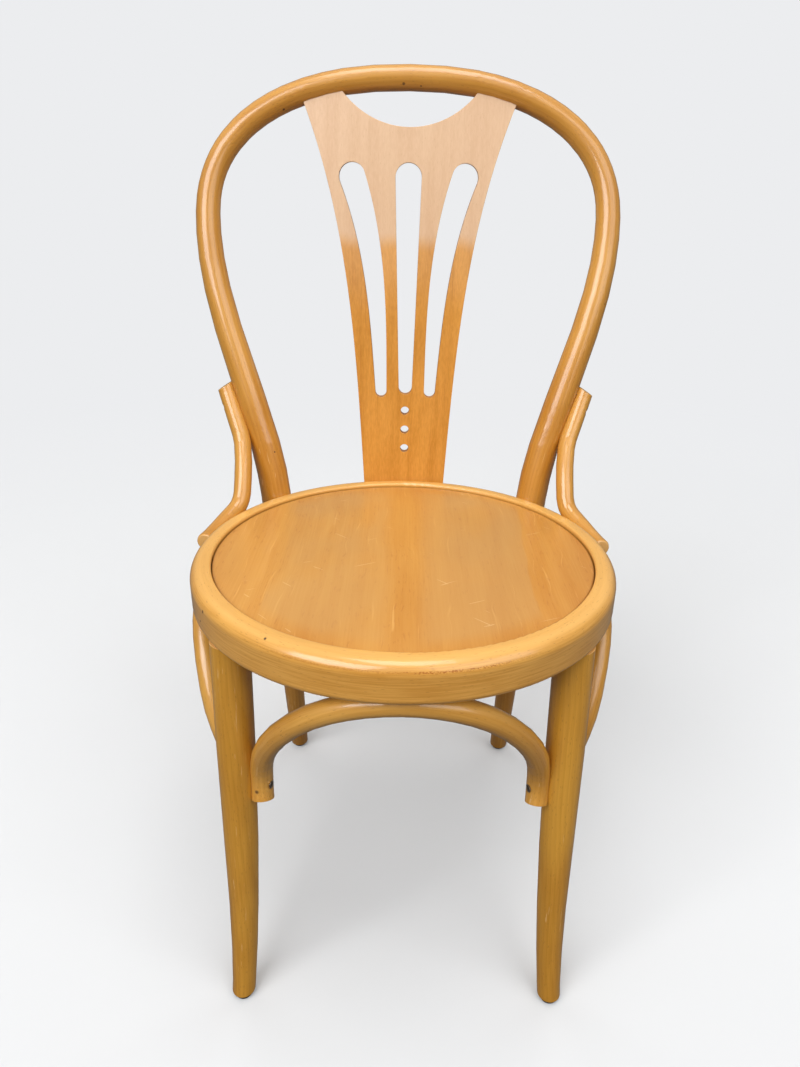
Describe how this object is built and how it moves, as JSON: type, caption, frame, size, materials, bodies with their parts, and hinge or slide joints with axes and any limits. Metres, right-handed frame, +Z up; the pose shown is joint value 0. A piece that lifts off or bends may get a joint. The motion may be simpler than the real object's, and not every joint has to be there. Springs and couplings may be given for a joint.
{
  "type": "bentwood bistro chair",
  "caption": "Bentwood dining chair with a round plywood seat, a bent hoop back that runs down into the rear legs, a pierced splat and curved arches under the seat.",
  "frame": {"origin": "on the floor, at the middle of the chair's footprint box", "axes": "+Z up, +Y towards the back, +X to the right as seen from the front"},
  "size_m": [0.47, 0.4884, 0.9003],
  "materials": {
    "bent_beech": "clear lacquered bent beech, honey colour, glossy",
    "turned_beech": "clear lacquered turned beech, honey colour, glossy",
    "ring_beech": "clear lacquered bent beech, worn along the front edge",
    "seat_plywood": "lacquered plywood, figure running front to back, semi-gloss",
    "splat_plywood": "lacquered moulded plywood, grain upright, semi-gloss",
    "screw_steel": "zinc plated",
    "bolt_steel": "zinc plated",
    "glide_plastic": "black, matte"
  },
  "bodies": {
    "root": {"back_hoop": "bent_beech", "front_leg_left": "turned_beech", "front_leg_right": "turned_beech", "hip_brace_left": "bent_beech", "hip_brace_right": "bent_beech", "arch_front": "bent_beech", "arch_left": "bent_beech", "arch_right": "bent_beech", "arch_rear": "bent_beech", "seat_ring": "ring_beech", "seat_panel": "seat_plywood", "back_splat": "splat_plywood", "arch_front_crown_screw": "screw_steel", "arch_front_end_screws": "screw_steel", "arch_left_crown_screw": "screw_steel", "arch_left_end_screws": "screw_steel", "arch_right_crown_screw": "screw_steel", "arch_right_end_screws": "screw_steel", "arch_rear_crown_screw": "screw_steel", "arch_rear_end_screws": "screw_steel", "hip_screw_lower_left": "screw_steel", "hip_screw_upper_left": "screw_steel", "splat_screw_left": "screw_steel", "hip_screw_lower_right": "screw_steel", "hip_screw_upper_right": "screw_steel", "splat_screw_right": "screw_steel", "hoop_bolt_left": "bolt_steel", "hoop_washer_left": "bolt_steel", "hoop_nut_left": "bolt_steel", "hoop_bolt_right": "bolt_steel", "hoop_washer_right": "bolt_steel", "hoop_nut_right": "bolt_steel", "glide_front_left": "glide_plastic", "glide_front_right": "glide_plastic", "glide_rear_left": "glide_plastic", "glide_rear_right": "glide_plastic"}
  },
  "joints": []
}
